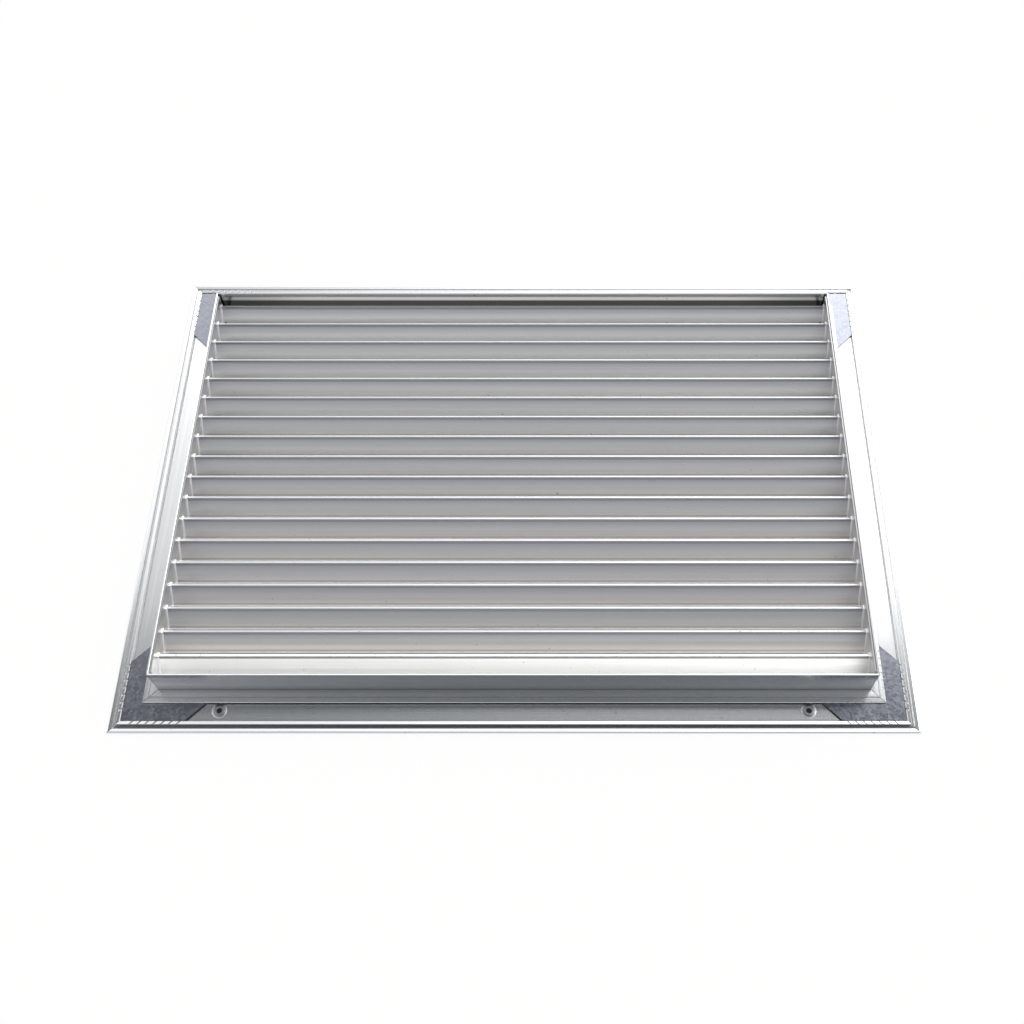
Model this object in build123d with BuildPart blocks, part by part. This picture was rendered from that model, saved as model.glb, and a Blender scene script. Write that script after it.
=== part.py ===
"""Return air grille with fixed 45 degree blades for a 600 x 400 mm opening.

The grille lies face down: its decorative face is the plane z = 0 and its duct neck points up.
X runs along the blades, -Y is the front, and the origin is the middle of the face.
"""
from build123d import *
import os
from math import cos, radians, sin, tan

# Opening and frame
opening_length = 600.0  # nominal duct opening along X
opening_depth = 400.0  # nominal duct opening along Y
opening_clearance = 2.0  # from the neck to the opening, on each side
flange_overlap = 37.0  # flange beyond the neck's outer face
neck_height = 38.0  # face to the top of the neck
neck_wall = 1.4
flange_thickness = 1.5
mitre_gap = 0.3  # hairline between two rails at a corner

# Rim, lip and fin on the back of the flange
rim_width = 4.0
rim_height = 3.4
groove_width = 2.8  # between the rim and the lip
lip_thickness = 1.2
lip_reach = 3.0  # from the lip's outer face to the edge of its hook
top_slope = 7.0  # degrees by which the tops of the rim, the lip and the neck fall inward
fin_reach = 11.5  # from the neck's outer face
fin_thickness = 1.2
fin_groove_width = 1.2
fin_groove_depth = 0.6
fin_groove_inset = 4.5  # from the fin's free edge

# Ledge inside the neck
ledge_height = 8.0  # face to the top of the ledge
ledge_reach = 3.0
ledge_thickness = 1.3

# Edges left by the extrusion die
rim_radius = 1.0
edge_bevel = 0.3

# Corner plates and the stakes that hold them
plate_thickness = 2.0
plate_clearance = 0.2
plate_reach = 61.0  # outer corner of the frame to the short side of a leg's slanted end
stake_count = 7  # on each leg
stake_pitch = 6.5
stake_start = 12.5  # from the corner of the lip or fin to its first stake
stake_width = 1.0
stake_depth = 0.6  # of the stakes in the fin
stake_bite = 2.2  # reach of the stakes into the fin

# Fixing screw holes in the front and back rails
hole_inset = 19.5  # from the outer edge
hole_reach = 90.0  # from the outer corner
hole_radius = 2.4
countersink_radius = 4.4
dimple_radius = 6.2
dimple_height = 0.9
dimple_taper = 70.0

# Blades
blade_count = 18
blade_angle = 45.0
blade_chord = 18.6  # between the middles of the two edges
blade_thickness = 1.1
bead_width = 2.2  # bead along the edge on the duct side
bead_height = 1.9
foot_width = 1.5  # smaller bead along the edge on the face side
foot_height = 1.7
bead_lean = 12.0  # degrees by which the tops of both beads lean to the back
blade_drop = 11.0  # neck top to blade top
row_gap = 6.0  # from the first and last blade to the neck
hang_hole_radius = 1.5
hang_hole_inset = 2.0  # from the visible end of the first blade
hang_hole_rise = 2.6  # from the middle of its lower edge

# Blade carriers
carrier_thickness = 1.5
carrier_drop = 1.6  # neck top to carrier top
carrier_end_gap = 2.5
seat_clearance = 0.2
slot_clearance = 0.15
collar_width = 0.8
collar_height = 1.0

# Sizes worked out from the above
overall_length = opening_length - 2 * opening_clearance + 2 * flange_overlap
overall_depth = opening_depth - 2 * opening_clearance + 2 * flange_overlap
wall_inset = flange_overlap + neck_wall
lip_offset = rim_width + groove_width
channel_top = flange_thickness + plate_thickness + plate_clearance
rail_reach = wall_inset + ledge_reach
clear_depth = overall_depth - 2 * wall_inset
blade_run = blade_chord * cos(radians(blade_angle))
blade_rise = blade_chord * sin(radians(blade_angle))
bead_z = neck_height - blade_drop - bead_height / 2
row_depth = clear_depth - 2 * row_gap - bead_width
blade_pitch = (row_depth - blade_run) / (blade_count - 1)
first_bead_y = row_depth / 2
blade_row = [
    (first_bead_y - i * blade_pitch - blade_run / 2, bead_z - blade_rise / 2) for i in range(blade_count)
]


def add_strip(across, up, width, height, slope=0.0):
    """Adds a strip to the open sketch, placed by its lower outer corner; its top may fall inward."""
    inner_height = height - width * tan(radians(slope))
    with Locations((across, up)):
        Polygon((0, 0), (width, 0), (width, inner_height), (0, height), align=None)


def draw_rail_section():
    """Draws the rail's section: x runs inward from the outer edge, y up from the face."""
    add_strip(0, 0, wall_inset, flange_thickness)
    add_strip(0, 0, rim_width, rim_height, top_slope)
    add_strip(lip_offset, 0, lip_thickness, channel_top)
    add_strip(lip_offset, channel_top, lip_reach, lip_thickness, top_slope)
    add_strip(flange_overlap - fin_reach, channel_top, fin_reach, fin_thickness)
    add_strip(flange_overlap, 0, neck_wall, neck_height, top_slope)
    add_strip(flange_overlap, ledge_height - ledge_thickness, neck_wall + ledge_reach, ledge_thickness)


def build_rail(place, length, has_holes):
    """Builds one mitred rail; place has its origin mid-edge, x along the rail, y inward and z up."""
    across = Plane(origin=place.origin, x_dir=place.y_dir, z_dir=place.x_dir)
    half = length / 2
    stake_steps = [stake_start + i * stake_pitch for i in range(stake_count)]
    fin_edge = flange_overlap - fin_reach
    fin_top = channel_top + fin_thickness
    with BuildPart() as rail:
        with BuildSketch(across) as section:
            draw_rail_section()
            fillet(section.vertices().sort_by(Axis.X)[:2], rim_radius)
            corners = section.vertices().sort_by(Axis.X)[4:]
            fin_root = corners.sort_by_distance((flange_overlap, fin_top))[:1]
            chamfer(corners - fin_root, edge_bevel)
            with Locations((fin_edge + fin_groove_inset, fin_top)):
                Rectangle(fin_groove_width, 2 * fin_groove_depth, mode=Mode.SUBTRACT)
        extrude(amount=half, both=True)

        # Slanted ends that meet the neighbouring rails
        with BuildSketch(place):
            near = half - mitre_gap / 2
            far = near - rail_reach
            Polygon((-near, 0), (near, 0), (far, rail_reach), (-far, rail_reach), align=None)
        extrude(amount=neck_height, mode=Mode.INTERSECT)

        # Stakes parallel to the mitre, through the lip and shallow in the fin
        for end in (-1, 1):
            with BuildSketch(place.offset(channel_top)):
                lip_middle = lip_offset + lip_reach / 2
                with Locations(*[(end * (half - lip_offset - step), lip_middle) for step in stake_steps]):
                    Rectangle(2 * lip_reach, stake_width, rotation=-45 * end)
            extrude(amount=lip_thickness, mode=Mode.SUBTRACT)
            with BuildSketch(place.offset(fin_top - stake_depth)):
                with Locations(*[(end * (half - fin_edge - step), fin_edge) for step in stake_steps]):
                    Rectangle(2 * stake_bite, stake_width, rotation=-45 * end)
            extrude(amount=stake_depth, mode=Mode.SUBTRACT)

        if has_holes:
            hole_x = half - hole_reach
            with BuildSketch(place.offset(flange_thickness)):
                with Locations((-hole_x, hole_inset), (hole_x, hole_inset)):
                    Circle(dimple_radius)
            extrude(amount=dimple_height, taper=dimple_taper)
            face = Plane(origin=place.origin, x_dir=place.x_dir, z_dir=-place.z_dir)
            with Locations(face):
                with Locations((-hole_x, -hole_inset), (hole_x, -hole_inset)):
                    CounterSinkHole(hole_radius, countersink_radius, counter_sink_angle=90)
    return rail


def build_corner_plate(corner):
    """Builds one L-shaped plate; corner has its origin on the frame's outer corner, x and y along its edges."""
    outer = lip_offset + lip_thickness + edge_bevel + plate_clearance
    inner = flange_overlap - edge_bevel - plate_clearance
    long_reach = plate_reach + inner - outer
    with BuildPart() as plate:
        with BuildSketch(corner.offset(flange_thickness)):
            Polygon(
                (outer, outer),
                (plate_reach, outer),
                (long_reach, inner),
                (inner, inner),
                (inner, long_reach),
                (outer, plate_reach),
                align=None,
            )
        extrude(amount=plate_thickness)
    return plate


def draw_blade_section(grow):
    """Draws the blade's section about its middle, grown all round: a web with a bead along each edge."""
    Rectangle(blade_chord, blade_thickness + 2 * grow, rotation=blade_angle)
    with Locations((blade_run / 2, blade_rise / 2)):
        Rectangle(bead_width + 2 * grow, bead_height + 2 * grow, rotation=-bead_lean)
    with Locations((-blade_run / 2, -blade_rise / 2)):
        Rectangle(foot_width + 2 * grow, foot_height + 2 * grow, rotation=-bead_lean)


def build_carrier(side):
    """Builds the slotted strip on the inner wall of the left (-1) or right (1) rail."""
    wall_face = Plane.YZ.offset(side * (overall_length / 2 - wall_inset))
    bottom = ledge_height
    top = neck_height - carrier_drop
    with BuildPart() as carrier:
        with BuildSketch(wall_face):
            with Locations((0, (bottom + top) / 2)):
                Rectangle(clear_depth - 2 * carrier_end_gap, top - bottom)
        extrude(amount=-side * carrier_thickness)
        wall_edges = carrier.edges().filter_by(Axis.Y).sort_by(Axis.X, reverse=side > 0)[:2]
        chamfer(wall_edges, edge_bevel)
        with BuildSketch(wall_face.offset(-side * carrier_thickness)):
            with Locations(*blade_row):
                draw_blade_section(slot_clearance + collar_width)
        extrude(amount=-side * collar_height)
        with BuildSketch(wall_face):
            with Locations(*blade_row):
                draw_blade_section(slot_clearance)
        extrude(amount=-side * (carrier_thickness + collar_height), mode=Mode.SUBTRACT)
    return carrier


def build_blade(middle, has_hang_holes):
    """Builds one blade whose section is centred on middle, a (y, z) pair."""
    half = overall_length / 2 - wall_inset - seat_clearance
    with BuildPart() as blade:
        with BuildSketch(Plane.YZ) as section:
            with Locations(middle):
                draw_blade_section(0)
            chamfer(section.vertices(), edge_bevel)
        extrude(amount=half, both=True)
        if has_hang_holes:
            slope = Plane(origin=(0, *middle), x_dir=(1, 0, 0)).rotated((blade_angle, 0, 0))
            hole_x = overall_length / 2 - wall_inset - carrier_thickness - collar_height - hang_hole_inset
            hole_y = hang_hole_rise - blade_chord / 2
            with BuildSketch(slope):
                with Locations((-hole_x, hole_y), (hole_x, hole_y)):
                    Circle(hang_hole_radius)
            extrude(amount=blade_thickness, both=True, mode=Mode.SUBTRACT)
    return blade


def keep(piece, name):
    """Labels a finished piece and writes its file."""
    piece.part.label = name
    export_step(piece.part, f"parts/{name}.step")


os.makedirs("parts", exist_ok=True)

# Frame rails, each placed by the middle of its outer edge
front_place = Plane(origin=(0, -overall_depth / 2, 0), x_dir=(1, 0, 0), z_dir=(0, 0, 1))
back_place = Plane(origin=(0, overall_depth / 2, 0), x_dir=(-1, 0, 0), z_dir=(0, 0, 1))
left_place = Plane(origin=(-overall_length / 2, 0, 0), x_dir=(0, -1, 0), z_dir=(0, 0, 1))
right_place = Plane(origin=(overall_length / 2, 0, 0), x_dir=(0, 1, 0), z_dir=(0, 0, 1))
keep(build_rail(front_place, overall_length, True), "front_rail")
keep(build_rail(back_place, overall_length, True), "back_rail")
keep(build_rail(left_place, overall_depth, False), "left_rail")
keep(build_rail(right_place, overall_depth, False), "right_rail")

# Corner plates, each placed by an outer corner of the frame, going round from the front left
corners = {
    "front_left": ((-1, -1), (1, 0, 0)),
    "front_right": ((1, -1), (0, 1, 0)),
    "back_right": ((1, 1), (-1, 0, 0)),
    "back_left": ((-1, 1), (0, -1, 0)),
}
for name, ((x_side, y_side), along) in corners.items():
    outer_corner = (x_side * overall_length / 2, y_side * overall_depth / 2, 0)
    place = Plane(origin=outer_corner, x_dir=along, z_dir=(0, 0, 1))
    keep(build_corner_plate(place), f"corner_plate_{name}")

# Blade row with its two carriers
keep(build_carrier(-1), "blade_carrier_left")
keep(build_carrier(1), "blade_carrier_right")
for number, middle in enumerate(blade_row, start=1):
    keep(build_blade(middle, number == 1), f"blade_{number:02d}")
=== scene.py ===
"""Dresses the return air grille: aluminium rails and blades, galvanised corner plates, and its studio.

The file is laid out as an add-on and run as a script. Lengths are metres in the part's own frame:
X along the blades, -Y towards the viewer, z = 0 the face that lies on the floor.
"""

import math

import bpy
import numpy as np
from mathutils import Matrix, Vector


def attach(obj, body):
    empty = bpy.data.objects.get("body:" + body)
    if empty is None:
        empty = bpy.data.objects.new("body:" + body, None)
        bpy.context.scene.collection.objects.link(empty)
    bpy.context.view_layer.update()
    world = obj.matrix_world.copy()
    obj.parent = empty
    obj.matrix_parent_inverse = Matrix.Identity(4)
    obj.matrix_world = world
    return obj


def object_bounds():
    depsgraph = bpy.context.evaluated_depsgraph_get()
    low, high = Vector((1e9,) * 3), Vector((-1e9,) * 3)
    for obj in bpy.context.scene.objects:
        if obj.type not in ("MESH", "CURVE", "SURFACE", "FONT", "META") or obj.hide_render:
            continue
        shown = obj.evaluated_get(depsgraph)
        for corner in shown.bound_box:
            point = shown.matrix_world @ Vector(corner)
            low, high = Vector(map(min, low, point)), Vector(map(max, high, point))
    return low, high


bl_info = {
    "name": "Return Air Grille",
    "version": (1, 0, 0),
    "blender": (4, 5, 0),
    "location": "View3D > Sidebar > Grille",
    "description": "Finishes for a return air grille and the studio that shows it",
    "category": "Object",
}

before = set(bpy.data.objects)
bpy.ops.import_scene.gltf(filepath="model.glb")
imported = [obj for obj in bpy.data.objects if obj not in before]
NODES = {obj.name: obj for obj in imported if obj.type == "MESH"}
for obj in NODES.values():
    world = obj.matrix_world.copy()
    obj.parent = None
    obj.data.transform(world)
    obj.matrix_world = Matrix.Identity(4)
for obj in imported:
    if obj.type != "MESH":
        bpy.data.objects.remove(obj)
CAD_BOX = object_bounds()
IMAGE_SIDE = 1024
SENSOR_WIDTH = 36.0

# Edges of painted areas blur over this length
SOFT = 0.0002

# Fixed tones of small areas: specks and burrs, painted light for the side channels, painted highlights for
# the blade foot and the collars, painted shade for the plate ends
SPECK = (0.12, 0.115, 0.11)
PAINTED_CHANNEL_LIGHT = (0.96, 0.96, 0.96)
PAINTED_FOOT_HIGHLIGHT = (0.94, 0.935, 0.93)
PAINTED_COLLAR_HIGHLIGHT = (0.93, 0.925, 0.92)
PAINTED_END_SHADE = (0.02, 0.02, 0.025)
BURR_DARK = (0.20, 0.19, 0.18)
BURR_LIGHT = (0.5, 0.48, 0.46)

# Painted shade: blade colour near the bead, darker and bluer, as a share of the blade's own colour
UPPER_WEB_SHADE_SHARE = (0.50, 0.515, 0.56)

# Roughness of each aluminium finish
RAIL_ROUGH = 0.19
BLADE_ROUGH = 0.40
CARRIER_ROUGH = 0.36
DIMPLE_ROUGH = 0.42


class GrilleFinish(bpy.types.PropertyGroup):
    """Colours and finishes of the grille's metals."""

    frame_colour: bpy.props.FloatVectorProperty(
        name="Frame aluminium", description="Colour of the mill finish rails",
        subtype="COLOR", size=3, min=0.0, max=1.0, default=(0.79, 0.80, 0.81),
    )
    blade_colour: bpy.props.FloatVectorProperty(
        name="Blade aluminium", description="Colour of the mill finish blades",
        subtype="COLOR", size=3, min=0.0, max=1.0, default=(0.90, 0.89, 0.87),
    )
    carrier_colour: bpy.props.FloatVectorProperty(
        name="Carrier aluminium", description="Colour of the strips that hold the blades",
        subtype="COLOR", size=3, min=0.0, max=1.0, default=(0.78, 0.775, 0.78),
    )
    plate_colour: bpy.props.FloatVectorProperty(
        name="Galvanised steel", description="Colour of the corner plates",
        subtype="COLOR", size=3, min=0.0, max=1.0, default=(0.26, 0.27, 0.31),
    )
    # One colour for dirt in the mitre joints and for painted shade in grooves, hollows, under the neck's
    # hook and inside the dimples; a darker share of it is the painted shadow on the back wall
    dirt_and_shade_colour: bpy.props.FloatVectorProperty(
        name="Dirt and shade", description="Colour of the dirt that gathers in grooves and corners",
        subtype="COLOR", size=3, min=0.0, max=1.0, default=(0.30, 0.30, 0.31),
    )
    die_line: bpy.props.FloatProperty(
        name="Die line", description="Spacing of the fine lines left by the extrusion die",
        unit="LENGTH", min=0.0002, default=0.0012,
    )
    spangle: bpy.props.FloatProperty(
        name="Spangle", description="Size of the zinc crystals on the corner plates",
        unit="LENGTH", min=0.001, default=0.0026,
    )
    groove_start: bpy.props.FloatProperty(
        name="Groove start", description="From the outer edge to the near side of the rim's groove",
        unit="LENGTH", default=0.0037,
    )
    groove_end: bpy.props.FloatProperty(
        name="Groove end", description="From the outer edge to the far side of the rim's groove",
        unit="LENGTH", default=0.0068,
    )
    hook_edge: bpy.props.FloatProperty(
        name="Hook edge", description="From the outer edge to the free edge of the lip's hook",
        unit="LENGTH", default=0.0098,
    )
    fin_groove: bpy.props.FloatProperty(
        name="Fin groove", description="From the outer edge to the middle of the groove in the fin",
        unit="LENGTH", default=0.0300,
    )
    neck_inset: bpy.props.FloatProperty(
        name="Neck inset", description="From the outer edge to the neck", unit="LENGTH", default=0.0370,
    )
    fin_top: bpy.props.FloatProperty(
        name="Fin top", description="Height of the fin at the foot of the neck",
        unit="LENGTH", default=0.0049,
    )
    bead_foot: bpy.props.FloatProperty(
        name="Bead foot", description="Height at which a blade's web meets its upper bead",
        unit="LENGTH", default=0.0251,
    )
    blade_foot: bpy.props.FloatProperty(
        name="Blade foot", description="Height of the top of a blade's lower bead",
        unit="LENGTH", default=0.0140,
    )
    plate_end: bpy.props.FloatProperty(
        name="Plate end",
        description="How much farther a plate's end lies from one outer edge than from the other",
        unit="LENGTH", default=0.0525,
    )
    hole_place: bpy.props.FloatVectorProperty(
        name="Screw hole", description="Place of the screw hole at the back right",
        subtype="TRANSLATION", unit="LENGTH", size=3, default=(0.2450, 0.2155, 0.0),
    )
    last_bead: bpy.props.FloatVectorProperty(
        name="Last bead", description="Middle of the top of the front blade's bead",
        subtype="TRANSLATION", unit="LENGTH", size=3, default=(0.0, -0.17635, 0.0270),
    )
    blade_pitch: bpy.props.FloatProperty(
        name="Blade pitch", description="From one blade to the next", unit="LENGTH", default=0.02152,
    )
    burr_radius: bpy.props.FloatProperty(
        name="Burr radius", description="Half the thickness of a burr", unit="LENGTH", default=0.00022,
    )
    carrier_face: bpy.props.FloatProperty(
        name="Carrier face", description="From the middle of the grille to the face of a carrier",
        unit="LENGTH", default=0.2951,
    )


class GrilleStudio(bpy.types.PropertyGroup):
    """Camera and light of the studio."""

    camera_place: bpy.props.FloatVectorProperty(
        name="Camera", description="Where the camera stands",
        subtype="TRANSLATION", unit="LENGTH", size=3, default=(0.0461, -0.5442, 0.9370),
    )
    camera_pitch: bpy.props.FloatProperty(
        name="Pitch", description="Angle at which the camera looks down from the horizon",
        subtype="ANGLE", unit="ROTATION", default=math.radians(61.04),
    )
    focal_pixels: bpy.props.FloatProperty(
        name="Focal length", description="Focal length in pixels of the square image", default=1175.9,
    )
    centre_pixel: bpy.props.FloatProperty(
        name="Optical centre", description="Column of the image that the camera's axis meets",
        default=569.6,
    )
    floor_radius: bpy.props.FloatProperty(
        name="Floor", description="Radius of the round floor", unit="LENGTH", min=1.0, default=4.0,
    )
    overhead_light: bpy.props.FloatProperty(
        name="Overhead", description="Brightness of the studio straight above", min=0.0, default=0.145,
    )
    front_light: bpy.props.FloatProperty(
        name="Front", description="Brightness of the studio on the viewer's side", min=0.0, default=0.60,
    )
    back_light: bpy.props.FloatProperty(
        name="Back", description="Brightness of the screens behind the grille", min=0.0, default=1.12,
    )
    window_light: bpy.props.FloatProperty(
        name="Window", description="Brightness of the low window below the screens", min=0.0, default=2.4,
    )


def new_material(name):
    """Returns a node material, its tree and its Principled shader."""
    material = bpy.data.materials.new(name)
    material.use_nodes = True
    tree = material.node_tree
    return material, tree, tree.nodes["Principled BSDF"]


def add_node(tree, kind, sources=None, **settings):
    """Adds a node. Settings are its properties; sources set its inputs to values or to other sockets."""
    node = tree.nodes.new(kind)
    for key, value in settings.items():
        setattr(node, key, value)
    for key, value in (sources or {}).items():
        if isinstance(value, bpy.types.NodeSocket):
            tree.links.new(value, node.inputs[key])
        else:
            node.inputs[key].default_value = value
    return node


def stretched_noise(tree, point, scale, detail=3.0, shift=(0.0, 0.0, 0.0)):
    """Noise with its own number of features per metre along each axis."""
    mapped = add_node(tree, "ShaderNodeMapping", {"Vector": point, "Scale": scale, "Location": shift})
    sources = {"Vector": mapped.outputs[0], "Scale": 1.0, "Detail": detail}
    noise = add_node(tree, "ShaderNodeTexNoise", sources)
    return noise.outputs["Fac"]


def ranged(tree, value, low, high, to_low, to_high, smooth=True):
    """Maps a value from one range to another, held at both ends."""
    kind = "SMOOTHSTEP" if smooth else "LINEAR"
    sources = {"Value": value, "From Min": low, "From Max": high, "To Min": to_low, "To Max": to_high}
    return add_node(tree, "ShaderNodeMapRange", sources, interpolation_type=kind).outputs["Result"]


def blended(tree, factor, first, second, how="MIX"):
    """Blends two colours, each a socket or an (r, g, b) triple."""
    node = add_node(tree, "ShaderNodeMix", data_type="RGBA", blend_type=how)
    for socket, value in zip((node.inputs[0], node.inputs[6], node.inputs[7]), (factor, first, second)):
        if isinstance(value, bpy.types.NodeSocket):
            tree.links.new(value, socket)
        else:
            socket.default_value = (*value, 1.0) if isinstance(value, tuple) else value
    return node.outputs[2]


def between(tree, value, low, high, soft):
    """One inside a range of the value and zero outside it, with soft ends."""
    rise = ranged(tree, value, low - soft, low + soft, 0.0, 1.0)
    return product(tree, rise, ranged(tree, value, high - soft, high + soft, 1.0, 0.0))


def product(tree, first, second):
    """The product of two values."""
    return add_node(tree, "ShaderNodeMath", {0: first, 1: second}, operation="MULTIPLY").outputs[0]


def larger(tree, first, second):
    """The larger of two values."""
    return add_node(tree, "ShaderNodeMath", {0: first, 1: second}, operation="MAXIMUM").outputs[0]


def size_of(tree, value):
    """A value without its sign."""
    return add_node(tree, "ShaderNodeMath", {0: value}, operation="ABSOLUTE").outputs[0]


def mill_finish(name, colour, grain_axis, die_line, rough):
    """Extruded aluminium with die lines and streaks along one axis, faint handling marks and dark specks.

    Returns the material, its tree, its shader, the x, y and z sockets, and the colour and roughness
    sockets, which the caller links to the shader.
    """
    material, tree, shader = new_material(name)
    point = add_node(tree, "ShaderNodeTexCoord").outputs["Object"]
    axes = add_node(tree, "ShaderNodeSeparateXYZ", {"Vector": point}).outputs
    fine = [1.0 / die_line] * 3
    broad = [240.0] * 3
    fine[grain_axis] = 3.0
    broad[grain_axis] = 1.2
    lines = stretched_noise(tree, point, fine, 2.0)
    streaks = stretched_noise(tree, point, broad, 4.0, (0.3, 0.7, 0.1))
    cloud = stretched_noise(tree, point, (16.0, 16.0, 16.0), 3.0, (2.0, 0.0, 5.0))

    # Colour: slightly darker streaks, a faint cloud of handling marks, and small dark specks
    dark = tuple(0.88 * c for c in colour)
    tone = blended(tree, ranged(tree, streaks, 0.35, 0.65, 0.0, 1.0), dark, tuple(colour))
    tone = blended(tree, ranged(tree, cloud, 0.5, 0.75, 0.0, 0.25), tone, dark)
    specks = stretched_noise(tree, point, (420.0, 420.0, 420.0), 1.0)
    tone = blended(tree, ranged(tree, specks, 0.775, 0.81, 0.0, 0.7), tone, SPECK)

    # Gloss: the streaks polish and dull the surface by turns
    gloss = ranged(tree, streaks, 0.3, 0.7, rough + 0.03, rough - 0.03)
    shader.inputs["Metallic"].default_value = 1.0

    # Relief: die lines over a slow waviness
    bump = add_node(tree, "ShaderNodeBump", {"Height": lines, "Strength": 0.06, "Distance": 0.0002})
    slow = add_node(
        tree, "ShaderNodeBump",
        {"Height": streaks, "Strength": 0.02, "Distance": 0.0005, "Normal": bump.outputs[0]},
    )
    tree.links.new(slow.outputs[0], shader.inputs["Normal"])
    return material, tree, shader, axes, tone, gloss


def less(tree, first, second):
    """The first value less the second."""
    return add_node(tree, "ShaderNodeMath", {0: first, 1: second}, operation="SUBTRACT").outputs[0]


def insets(tree, axes):
    """How far a point lies inside the frame's outer edges, across X and across Y."""
    half = Vector(CAD_BOX[1])
    return [less(tree, half[i], size_of(tree, axes[i])) for i in (0, 1)]


def apart(tree, first, second):
    """How far two values differ."""
    return size_of(tree, less(tree, first, second))


def rail_aluminium(finish, grain_axis):
    """Rail metal: dirt in the mitres; painted shade in the grooves and at the neck's foot; a painted
    highlight on the front fin; painted light in the side channels.

    A painted shadow darkens the back rail's inner wall behind the first blade; the screw dimples are dull
    and carry painted shade inside.
    """
    name = "rail_aluminium_along_" + "xy"[grain_axis]
    material, tree, shader, axes, tone, gloss = mill_finish(
        name, finish.frame_colour, grain_axis, finish.die_line, RAIL_ROUGH,
    )
    height = axes["Z"]
    both = insets(tree, axes)
    inset = both[1 - grain_axis]
    groove = between(tree, inset, finish.groove_start, finish.groove_end, SOFT)
    neck = finish.neck_inset
    outer_wall = ranged(tree, inset, neck - 0.0004, neck - 0.0001, 0.0, 1.0)
    inner_wall = ranged(tree, inset, neck + 0.0011, neck + 0.0013, 0.0, 1.0)
    # Painted highlight: the fin's top is lighter on the front half of the frame
    fin = between(tree, inset, finish.fin_groove - 0.0045, neck - 0.0004, SOFT)
    fin = product(tree, fin, ranged(tree, height, 0.0035, 0.0040, 0.0, 1.0))
    fin = product(tree, fin, ranged(tree, axes["Y"], -0.1, 0.1, 1.0, 0.0))
    tone = blended(tree, fin, tone, tuple(1.2 * c for c in finish.frame_colour))
    # Painted shadow: the back rail's inner wall is darkened behind the first blade
    back_wall = product(tree, inner_wall, ranged(tree, axes["Y"], 0.0, 0.1, 0.0, 1.0))
    shade = ranged(tree, height, 0.0262, 0.0295, 1.0, 0.0)
    fin_line = between(tree, inset, finish.fin_groove - 0.0006, finish.fin_groove + 0.0006, SOFT)
    # Painted shade: the rim's groove, stronger on the front and back rails, the fin's groove, and the neck's
    # outer wall darker towards its foot
    painted_shades = (
        product(tree, groove, ranged(tree, height, 0.0030, 0.0034, (0.8, 0.3)[grain_axis], 0.0)),
        product(tree, fin_line, ranged(tree, height, 0.0040, finish.fin_top, 0.35, 0.2)),
        product(tree, outer_wall, ranged(tree, height, finish.fin_top, finish.fin_top + 0.014, 0.6, 0.0)),
    )
    # Dirt along the mitre joints, joined by the painted shade below
    darkening = ranged(tree, apart(tree, *both), 0.0002, 0.0005, 0.6, 0.0)
    for part in painted_shades:
        darkening = larger(tree, darkening, part)
    tone = blended(tree, darkening, tone, tuple(finish.dirt_and_shade_colour))
    shadow = tuple(0.25 * c for c in finish.dirt_and_shade_colour)
    tone = blended(tree, product(tree, back_wall, shade), tone, shadow)
    if grain_axis == 1:
        # Painted light: the side rails' channel under the lip's hook is pale and nearly non-metallic,
        # lifting its shade
        channel = between(tree, inset, finish.groove_end, finish.hook_edge + 0.0004, SOFT)
        channel = product(tree, channel, ranged(tree, height, 0.0045, 0.0047, 1.0, 0.0))
        tone = blended(tree, channel, tone, PAINTED_CHANNEL_LIGHT)
        tree.links.new(ranged(tree, channel, 0.0, 1.0, 1.0, 0.1), shader.inputs["Metallic"])

    # Every screw dimple, folded into one quarter of the frame: dull, and darkened inside its rim by painted
    # shade
    folded = add_node(
        tree, "ShaderNodeCombineXYZ", {"X": size_of(tree, axes["X"]), "Y": size_of(tree, axes["Y"])},
    )
    reach = add_node(
        tree, "ShaderNodeVectorMath",
        {0: folded.outputs[0], 1: tuple(finish.hole_place)}, operation="DISTANCE",
    )
    dimple_shade = ranged(tree, reach.outputs["Value"], 0.0050, 0.0058, 0.9, 0.0)
    tree.links.new(blended(tree, dimple_shade, tone, tuple(finish.dirt_and_shade_colour)), shader.inputs["Base Color"])
    dull = ranged(tree, reach.outputs["Value"], 0.0062, 0.0068, DIMPLE_ROUGH, 0.0)
    tree.links.new(larger(tree, gloss, dull), shader.inputs["Roughness"])
    return material


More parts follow.
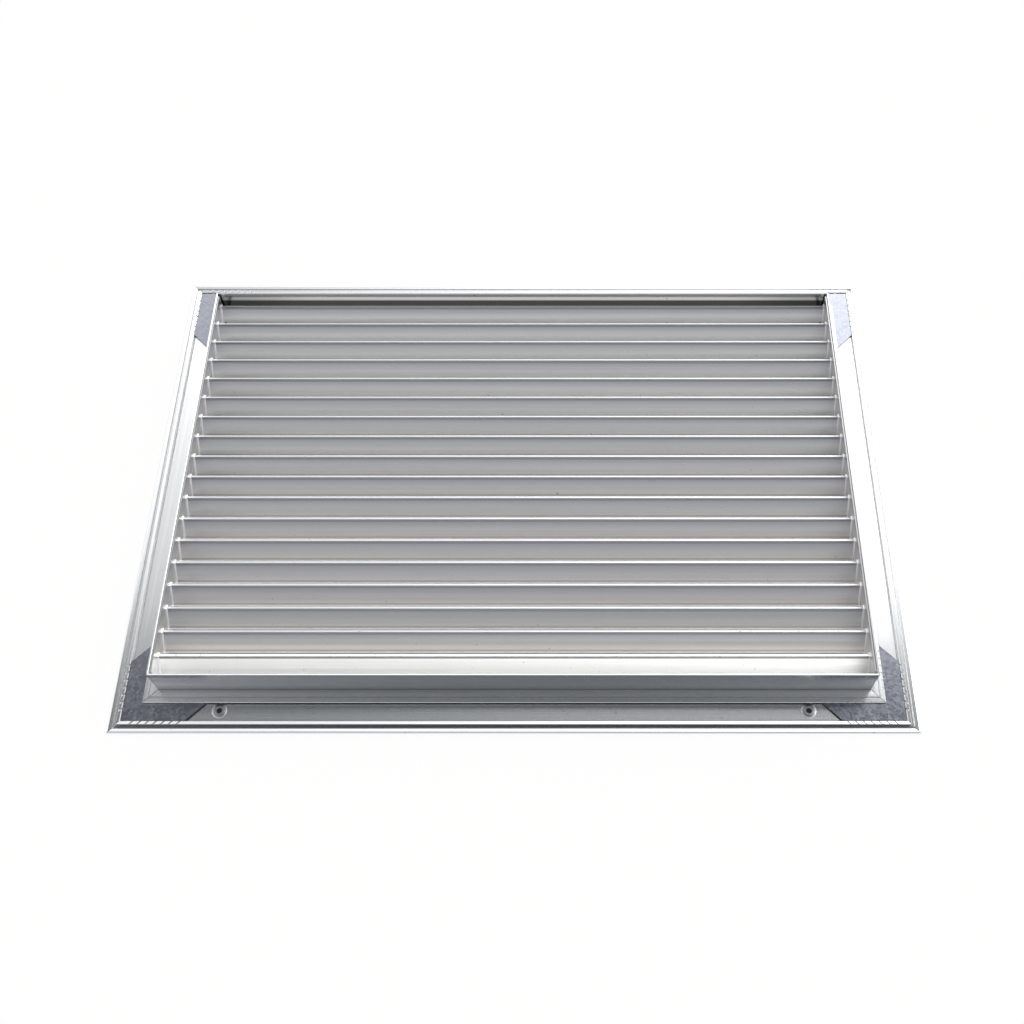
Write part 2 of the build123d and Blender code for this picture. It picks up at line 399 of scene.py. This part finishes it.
def blade_aluminium(finish):
    """Blade metal: painted shade under the upper bead and above the foot; the web darker and bluer high up
    as painted shade, lighter below; a painted highlight on the foot.
    """
    material, tree, shader, axes, tone, gloss = mill_finish(
        "blade_aluminium", finish.blade_colour, 0, finish.die_line, BLADE_ROUGH,
    )
    height = axes["Z"]
    bead, foot = finish.bead_foot, finish.blade_foot
    # Painted shade and reflection: the web is darker and bluer near the upper bead, except on the front
    # blade
    upper_web_shade = ranged(tree, height, bead - 0.009, bead - 0.001, 0.0, 1.0, False)
    last = finish.last_bead.y
    upper_web_shade = product(tree, upper_web_shade, ranged(tree, axes["Y"], last, last + 0.006, 0.0, 1.0))
    upper_web_shade_colour = tuple(c * share for c, share in zip(finish.blade_colour, UPPER_WEB_SHADE_SHARE))
    tone = blended(tree, upper_web_shade, tone, upper_web_shade_colour)
    # Painted shade: a dark line under the upper bead and a fainter one above the foot
    under_bead = between(tree, height, bead - 0.0005, bead + 0.0013, 0.0003)
    above_foot = between(tree, height, foot + 0.0001, foot + 0.0012, SOFT)
    darkening = larger(
        tree, ranged(tree, under_bead, 0.0, 1.0, 0.0, 0.8), ranged(tree, above_foot, 0.0, 1.0, 0.0, 0.4),
    )
    tone = blended(tree, darkening, tone, tuple(finish.dirt_and_shade_colour))
    # Painted highlight: the top of the lower bead is pale and less metallic
    foot_highlight = ranged(tree, height, foot - 0.0001, foot + 0.0002, 1.0, 0.0)
    tree.links.new(blended(tree, foot_highlight, tone, PAINTED_FOOT_HIGHLIGHT), shader.inputs["Base Color"])
    tree.links.new(ranged(tree, foot_highlight, 0.0, 1.0, 1.0, 0.4), shader.inputs["Metallic"])
    tree.links.new(gloss, shader.inputs["Roughness"])
    return material


def carrier_aluminium(finish):
    """Carrier metal: dull strip; its burred collars, standing out of its face, carry a painted highlight,
    and its top edge painted shade.
    """
    material, tree, shader, axes, tone, gloss = mill_finish(
        "carrier_aluminium", finish.carrier_colour, 1, finish.die_line, CARRIER_ROUGH,
    )
    tree.links.new(gloss, shader.inputs["Roughness"])
    face = finish.carrier_face
    # Painted highlight: the collars are pale and less metallic
    collar = ranged(tree, size_of(tree, axes["X"]), face - 0.0001, face, 1.0, 0.0)
    # Painted shade: the strip darkens towards its top edge, under the neck's hook
    hook_shade = ranged(tree, axes["Z"], 0.0350, 0.0362, 0.0, 0.8)
    tone = blended(tree, hook_shade, tone, tuple(finish.dirt_and_shade_colour))
    tree.links.new(blended(tree, collar, tone, PAINTED_COLLAR_HIGHLIGHT), shader.inputs["Base Color"])
    tree.links.new(ranged(tree, collar, 0.0, 1.0, 1.0, 0.3), shader.inputs["Metallic"])
    return material


def galvanised_steel(finish):
    """Zinc coated sheet: crystals of differing grey, each glossier or duller; sheared ends painted near
    black as shade.
    """
    material, tree, shader = new_material("galvanised_steel")
    colour, spangle = finish.plate_colour, finish.spangle
    point = add_node(tree, "ShaderNodeTexCoord").outputs["Object"]
    warp = add_node(tree, "ShaderNodeTexNoise", {"Vector": point, "Scale": 160.0, "Detail": 2.0})
    bent = add_node(
        tree, "ShaderNodeVectorMath",
        {0: warp.outputs["Color"], 1: (0.006, 0.006, 0.006)}, operation="MULTIPLY",
    )
    moved = add_node(tree, "ShaderNodeVectorMath", {0: point, 1: bent.outputs[0]}, operation="ADD")
    cells = add_node(tree, "ShaderNodeTexVoronoi", {"Vector": moved.outputs[0], "Scale": 1.0 / spangle})
    shade = add_node(tree, "ShaderNodeSeparateColor", {"Color": cells.outputs["Color"]}).outputs["Red"]
    feather = stretched_noise(tree, point, (900.0, 900.0, 900.0), 3.0)
    dark = tuple(0.84 * c for c in colour)
    light = tuple(min(1.0, 1.10 * c) for c in colour)
    tone = blended(tree, ranged(tree, shade, 0.0, 1.0, 0.0, 1.0, False), dark, light)
    tone = blended(tree, ranged(tree, feather, 0.4, 0.7, 0.0, 0.35), tone, dark)
    axes = add_node(tree, "ShaderNodeSeparateXYZ", {"Vector": point}).outputs
    leg = apart(tree, *insets(tree, axes))
    # Painted shade: the sheared ends are near black and not metallic
    sheared = ranged(tree, leg, finish.plate_end - SOFT, finish.plate_end, 0.0, 1.0)
    tree.links.new(blended(tree, sheared, tone, PAINTED_END_SHADE), shader.inputs["Base Color"])
    tree.links.new(ranged(tree, shade, 0.0, 1.0, 0.20, 0.28, False), shader.inputs["Roughness"])
    tree.links.new(ranged(tree, sheared, 0.0, 1.0, 1.0, 0.0), shader.inputs["Metallic"])
    bump = add_node(tree, "ShaderNodeBump", {"Height": feather, "Strength": 0.12, "Distance": 0.0003})
    tree.links.new(bump.outputs[0], shader.inputs["Normal"])
    return material


def give(names, material):
    """Puts one material on every named node."""
    for name in names:
        mesh = NODES[name].data
        mesh.materials.clear()
        mesh.materials.append(material)


class GRILLE_OT_rails(bpy.types.Operator):
    """Finishes the four frame rails, each with die lines along its own length"""

    bl_idname = "grille.rails"
    bl_label = "Frame rails"

    def execute(self, context):
        finish = context.scene.grille_finish
        give(("front_rail", "back_rail"), rail_aluminium(finish, 0))
        give(("left_rail", "right_rail"), rail_aluminium(finish, 1))
        return {"FINISHED"}


class GRILLE_OT_corner_plates(bpy.types.Operator):
    """Finishes the four corner plates"""

    bl_idname = "grille.corner_plates"
    bl_label = "Corner plates"

    def execute(self, context):
        finish = context.scene.grille_finish
        names = [name for name in NODES if name.startswith("corner_plate")]
        give(names, galvanised_steel(finish))
        return {"FINISHED"}


class GRILLE_OT_blades(bpy.types.Operator):
    """Finishes the row of blades and the strips that carry them"""

    bl_idname = "grille.blades"
    bl_label = "Blades and carriers"

    def execute(self, context):
        finish = context.scene.grille_finish
        blades = [name for name in NODES if name.startswith("blade_") and name[6:].isdigit()]
        give(blades, blade_aluminium(finish))
        give(("blade_carrier_left", "blade_carrier_right"), carrier_aluminium(finish))
        return {"FINISHED"}


def slivers(places, lengths, turns, radius):
    """Spindles r(t) = radius (sin(pi t) + 0.05) along short straight paths that arch up by one radius.

    Each lies at its place in the XY plane, turned by its angle; t runs from 0 to 1 along it.
    """
    t = np.linspace(0.0, 1.0, 9)
    around = np.linspace(0.0, 2 * np.pi, 8, endpoint=False)
    girth = radius * (np.sin(np.pi * t) + 0.05)
    along = np.broadcast_to((t - 0.5)[None, :, None] * lengths[:, None, None], (len(places), 9, 8))
    side = np.broadcast_to(girth[None, :, None] * np.cos(around)[None, None, :], along.shape)
    rise = girth[None, :, None] * np.sin(around)[None, None, :] + radius * np.sin(np.pi * t)[None, :, None]
    cos, sin = np.cos(turns)[:, None, None], np.sin(turns)[:, None, None]
    rise = np.broadcast_to(rise, along.shape)
    spun = np.stack((along * cos - side * sin, along * sin + side * cos, rise), axis=-1)
    verts = (spun + places[:, None, None, :]).reshape(-1, 3)
    ring, step = np.meshgrid(np.arange(8), np.arange(8), indexing="ij")
    a, b = ring * 8 + step, ring * 8 + (step + 1) % 8
    quads = np.stack((a, a + 8, b + 8, b), axis=-1).reshape(-1, 4)
    starts = np.arange(len(places)) * 72
    faces = (quads[None] + starts[:, None, None]).reshape(-1, 4).tolist()
    caps = [[start + i for i in range(8)] for start in starts.tolist()]
    caps += [[start + 71 - i for i in range(8)] for start in starts.tolist()]
    return verts.tolist(), faces + caps


class GRILLE_OT_burrs(bpy.types.Operator):
    """Adds the small burrs that handling has raised along the two front blades"""

    bl_idname = "grille.burrs"
    bl_label = "Blade burrs"

    def execute(self, context):
        finish = context.scene.grille_finish
        last = np.array((-0.280, -0.260, -0.230, -0.152, -0.1465, -0.136, -0.1184, -0.1155, -0.094, 0.098,
                         0.166, 0.1865, 0.2295, 0.2345, 0.260))
        other = np.array((-0.130, 0.189, 0.1975, 0.238, 0.250, 0.2715))
        x = np.concatenate((last, other))
        last_y = finish.last_bead.y
        y = np.where(np.arange(len(x)) < len(last), last_y, last_y + finish.blade_pitch)
        places = np.stack((x, y, np.full_like(x, finish.last_bead.z)), axis=1)
        wave = np.sin(97.0 * np.arange(len(x)))
        verts, faces = slivers(places, 0.0022 + 0.0009 * wave, 0.9 * wave + 0.5, finish.burr_radius)
        mesh = bpy.data.meshes.new("blade_burrs")
        mesh.from_pydata(verts, [], faces)
        mesh.shade_smooth()
        material, tree, shader = new_material("burred_metal")
        point = add_node(tree, "ShaderNodeTexCoord").outputs["Object"]
        grain = stretched_noise(tree, point, (2500.0, 2500.0, 2500.0))
        tone = blended(tree, ranged(tree, grain, 0.35, 0.65, 0.0, 1.0), BURR_DARK, BURR_LIGHT)
        tree.links.new(tone, shader.inputs["Base Color"])
        shader.inputs["Metallic"].default_value = 1.0
        shader.inputs["Roughness"].default_value = 0.5
        mesh.materials.append(material)
        burrs = bpy.data.objects.new("blade_burrs", mesh)
        context.scene.collection.objects.link(burrs)
        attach(burrs, "root")
        return {"FINISHED"}


class GRILLE_OT_studio(bpy.types.Operator):
    """Makes the floor, the soft studio light and the camera"""

    bl_idname = "grille.studio"
    bl_label = "Studio"

    def execute(self, context):
        studio = context.scene.grille_studio
        scene = context.scene
        scene.view_settings.view_transform = "Standard"
        self.make_floor(scene, studio)
        self.make_world(scene, studio)
        self.make_camera(scene, studio)
        return {"FINISHED"}

    def make_floor(self, scene, studio):
        """A flat disc at z = 0, white to the camera and in the metal; where the grille covers it, painted
        dark as shadow, with a painted glow that only the metal sees.
        """
        turns = np.linspace(0.0, 2 * np.pi, 96, endpoint=False)
        rim = np.stack((np.cos(turns), np.sin(turns), np.zeros_like(turns)), axis=1) * studio.floor_radius
        mesh = bpy.data.meshes.new("floor")
        mesh.from_pydata(rim.tolist(), [], [list(range(len(rim)))])
        floor = bpy.data.objects.new("floor", mesh)
        scene.collection.objects.link(floor)
        material, tree, shader = new_material("white_floor")
        shader.inputs["Roughness"].default_value = 0.9
        point = add_node(tree, "ShaderNodeTexCoord").outputs["Object"]
        half = Vector(CAD_BOX[1])
        share = add_node(
            tree, "ShaderNodeVectorMath",
            {0: point, 1: (1.0 / half.x, 1.0 / half.y, 0.0)}, operation="MULTIPLY",
        )
        sides = add_node(tree, "ShaderNodeSeparateXYZ", {"Vector": share.outputs[0]}).outputs
        farthest = larger(tree, size_of(tree, sides["X"]), size_of(tree, sides["Y"]))
        open_floor = ranged(tree, farthest, 0.985, 1.0, 0.0, 0.95)
        # Painted shadow: the floor is near black where the grille covers it
        shade = blended(tree, open_floor, (0.04, 0.04, 0.04), (0.86, 0.86, 0.86))
        tree.links.new(shade, shader.inputs["Base Color"])

        # A painted glow under the grille that only the metal sees, standing in for light coming up between
        # the blades; weaker to the back and to the sides
        backwards = ranged(tree, sides["Y"], -0.70, 0.66, 1.7, 0.75, False)
        sideways = ranged(tree, size_of(tree, sides["X"]), 0.60, 0.88, 1.0, 0.6)
        glow_and_backdrop = larger(tree, open_floor, product(tree, backwards, sideways))
        tint = blended(tree, open_floor, (1.0, 0.97, 0.93), (1.0, 1.0, 1.0))
        glow = add_node(tree, "ShaderNodeEmission", {"Color": tint, "Strength": 1.0})
        path = add_node(tree, "ShaderNodeLightPath").outputs
        seen = product(tree, path["Is Camera Ray"], open_floor)
        mirrored = larger(tree, path["Is Glossy Ray"], path["Is Transmission Ray"])
        white = larger(tree, seen, product(tree, mirrored, glow_and_backdrop))
        mix = add_node(tree, "ShaderNodeMixShader", {0: white, 1: shader.outputs[0], 2: glow.outputs[0]})
        tree.links.new(mix.outputs[0], tree.nodes["Material Output"].inputs["Surface"])
        mesh.materials.append(material)

    def make_world(self, scene, studio):
        """White to the camera, and to the metal a dome: bright screens behind, grey in front, dark above."""
        world = bpy.data.worlds.new("studio_dome")
        scene.world = world
        world.use_nodes = True
        tree = world.node_tree
        tree.nodes.clear()
        ray = add_node(tree, "ShaderNodeTexCoord").outputs["Generated"]
        axes = add_node(tree, "ShaderNodeSeparateXYZ", {"Vector": ray})
        across, along, height = axes.outputs["X"], axes.outputs["Y"], axes.outputs["Z"]
        behind = ranged(tree, along, -0.1, 0.3, 0.0, 1.0)
        window = ranged(tree, height, 0.70, 0.84, studio.window_light, studio.back_light)
        screens = product(tree, window, ranged(tree, across, -0.35, 0.35, 0.74, 2.2, False))
        screens = product(tree, screens, ranged(tree, height, 0.42, 0.64, 0.55, 1.0))
        front = product(tree, ranged(tree, height, 0.36, 0.64, 1.0, 1.5, False), studio.front_light)
        wall = add_node(
            tree, "ShaderNodeMix", {"Factor": behind, "A": front, "B": screens}, data_type="FLOAT",
        ).outputs[0]
        roof = product(
            tree, ranged(tree, height, 0.85, 0.88, 0.0, 1.0), ranged(tree, along, 0.370, 0.384, 1.0, 0.0),
        )
        level = add_node(
            tree, "ShaderNodeMix",
            {"Factor": roof, "A": wall, "B": studio.overhead_light}, data_type="FLOAT",
        ).outputs[0]
        tint = blended(tree, behind, (0.97, 0.97, 1.0), (1.0, 1.0, 1.0))
        tint = blended(tree, roof, tint, (0.87, 0.95, 1.0))
        dome = add_node(tree, "ShaderNodeBackground", {"Color": tint, "Strength": level})
        backdrop = add_node(tree, "ShaderNodeBackground", {"Color": (1.0, 1.0, 1.0, 1.0), "Strength": 1.0})
        path = add_node(tree, "ShaderNodeLightPath")
        mix = add_node(
            tree, "ShaderNodeMixShader",
            {0: path.outputs["Is Camera Ray"], 1: dome.outputs[0], 2: backdrop.outputs[0]},
        )
        output = add_node(tree, "ShaderNodeOutputWorld")
        tree.links.new(mix.outputs[0], output.inputs["Surface"])

    def make_camera(self, scene, studio):
        """A level camera whose axis meets the image a little right of its middle."""
        lens = bpy.data.cameras.new("camera")
        lens.sensor_width = SENSOR_WIDTH
        lens.lens = studio.focal_pixels * SENSOR_WIDTH / IMAGE_SIDE
        lens.shift_x = (IMAGE_SIDE / 2 - studio.centre_pixel) / IMAGE_SIDE
        lens.clip_start = 0.01
        camera = bpy.data.objects.new("camera", lens)
        camera.location = studio.camera_place
        camera.rotation_euler = (math.pi / 2 - studio.camera_pitch, 0.0, 0.0)
        scene.collection.objects.link(camera)
        scene.camera = camera


class GRILLE_PT_panel(bpy.types.Panel):
    """Lists the grille's pieces in the sidebar"""

    bl_idname = "GRILLE_PT_panel"
    bl_label = "Return Air Grille"
    bl_space_type = "VIEW_3D"
    bl_region_type = "UI"
    bl_category = "Grille"

    def draw(self, context):
        for operator in OPERATORS:
            self.layout.operator(operator.bl_idname)
        for group in (context.scene.grille_finish, context.scene.grille_studio):
            box = self.layout.box()
            for key in group.__annotations__:
                box.prop(group, key)


OPERATORS = (GRILLE_OT_rails, GRILLE_OT_corner_plates, GRILLE_OT_blades, GRILLE_OT_burrs, GRILLE_OT_studio)
CLASSES = (GrilleFinish, GrilleStudio, *OPERATORS, GRILLE_PT_panel)


def register():
    """Registers the classes and hangs the settings on the scene."""
    for item in CLASSES:
        bpy.utils.register_class(item)
    bpy.types.Scene.grille_finish = bpy.props.PointerProperty(type=GrilleFinish)
    bpy.types.Scene.grille_studio = bpy.props.PointerProperty(type=GrilleStudio)


def unregister():
    """Takes back what register did."""
    del bpy.types.Scene.grille_studio
    del bpy.types.Scene.grille_finish
    for item in reversed(CLASSES):
        bpy.utils.unregister_class(item)


def main():
    """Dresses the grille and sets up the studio."""
    register()
    bpy.ops.grille.rails()
    bpy.ops.grille.corner_plates()
    bpy.ops.grille.blades()
    bpy.ops.grille.burrs()
    bpy.ops.grille.studio()


if __name__ == "__main__":
    main()
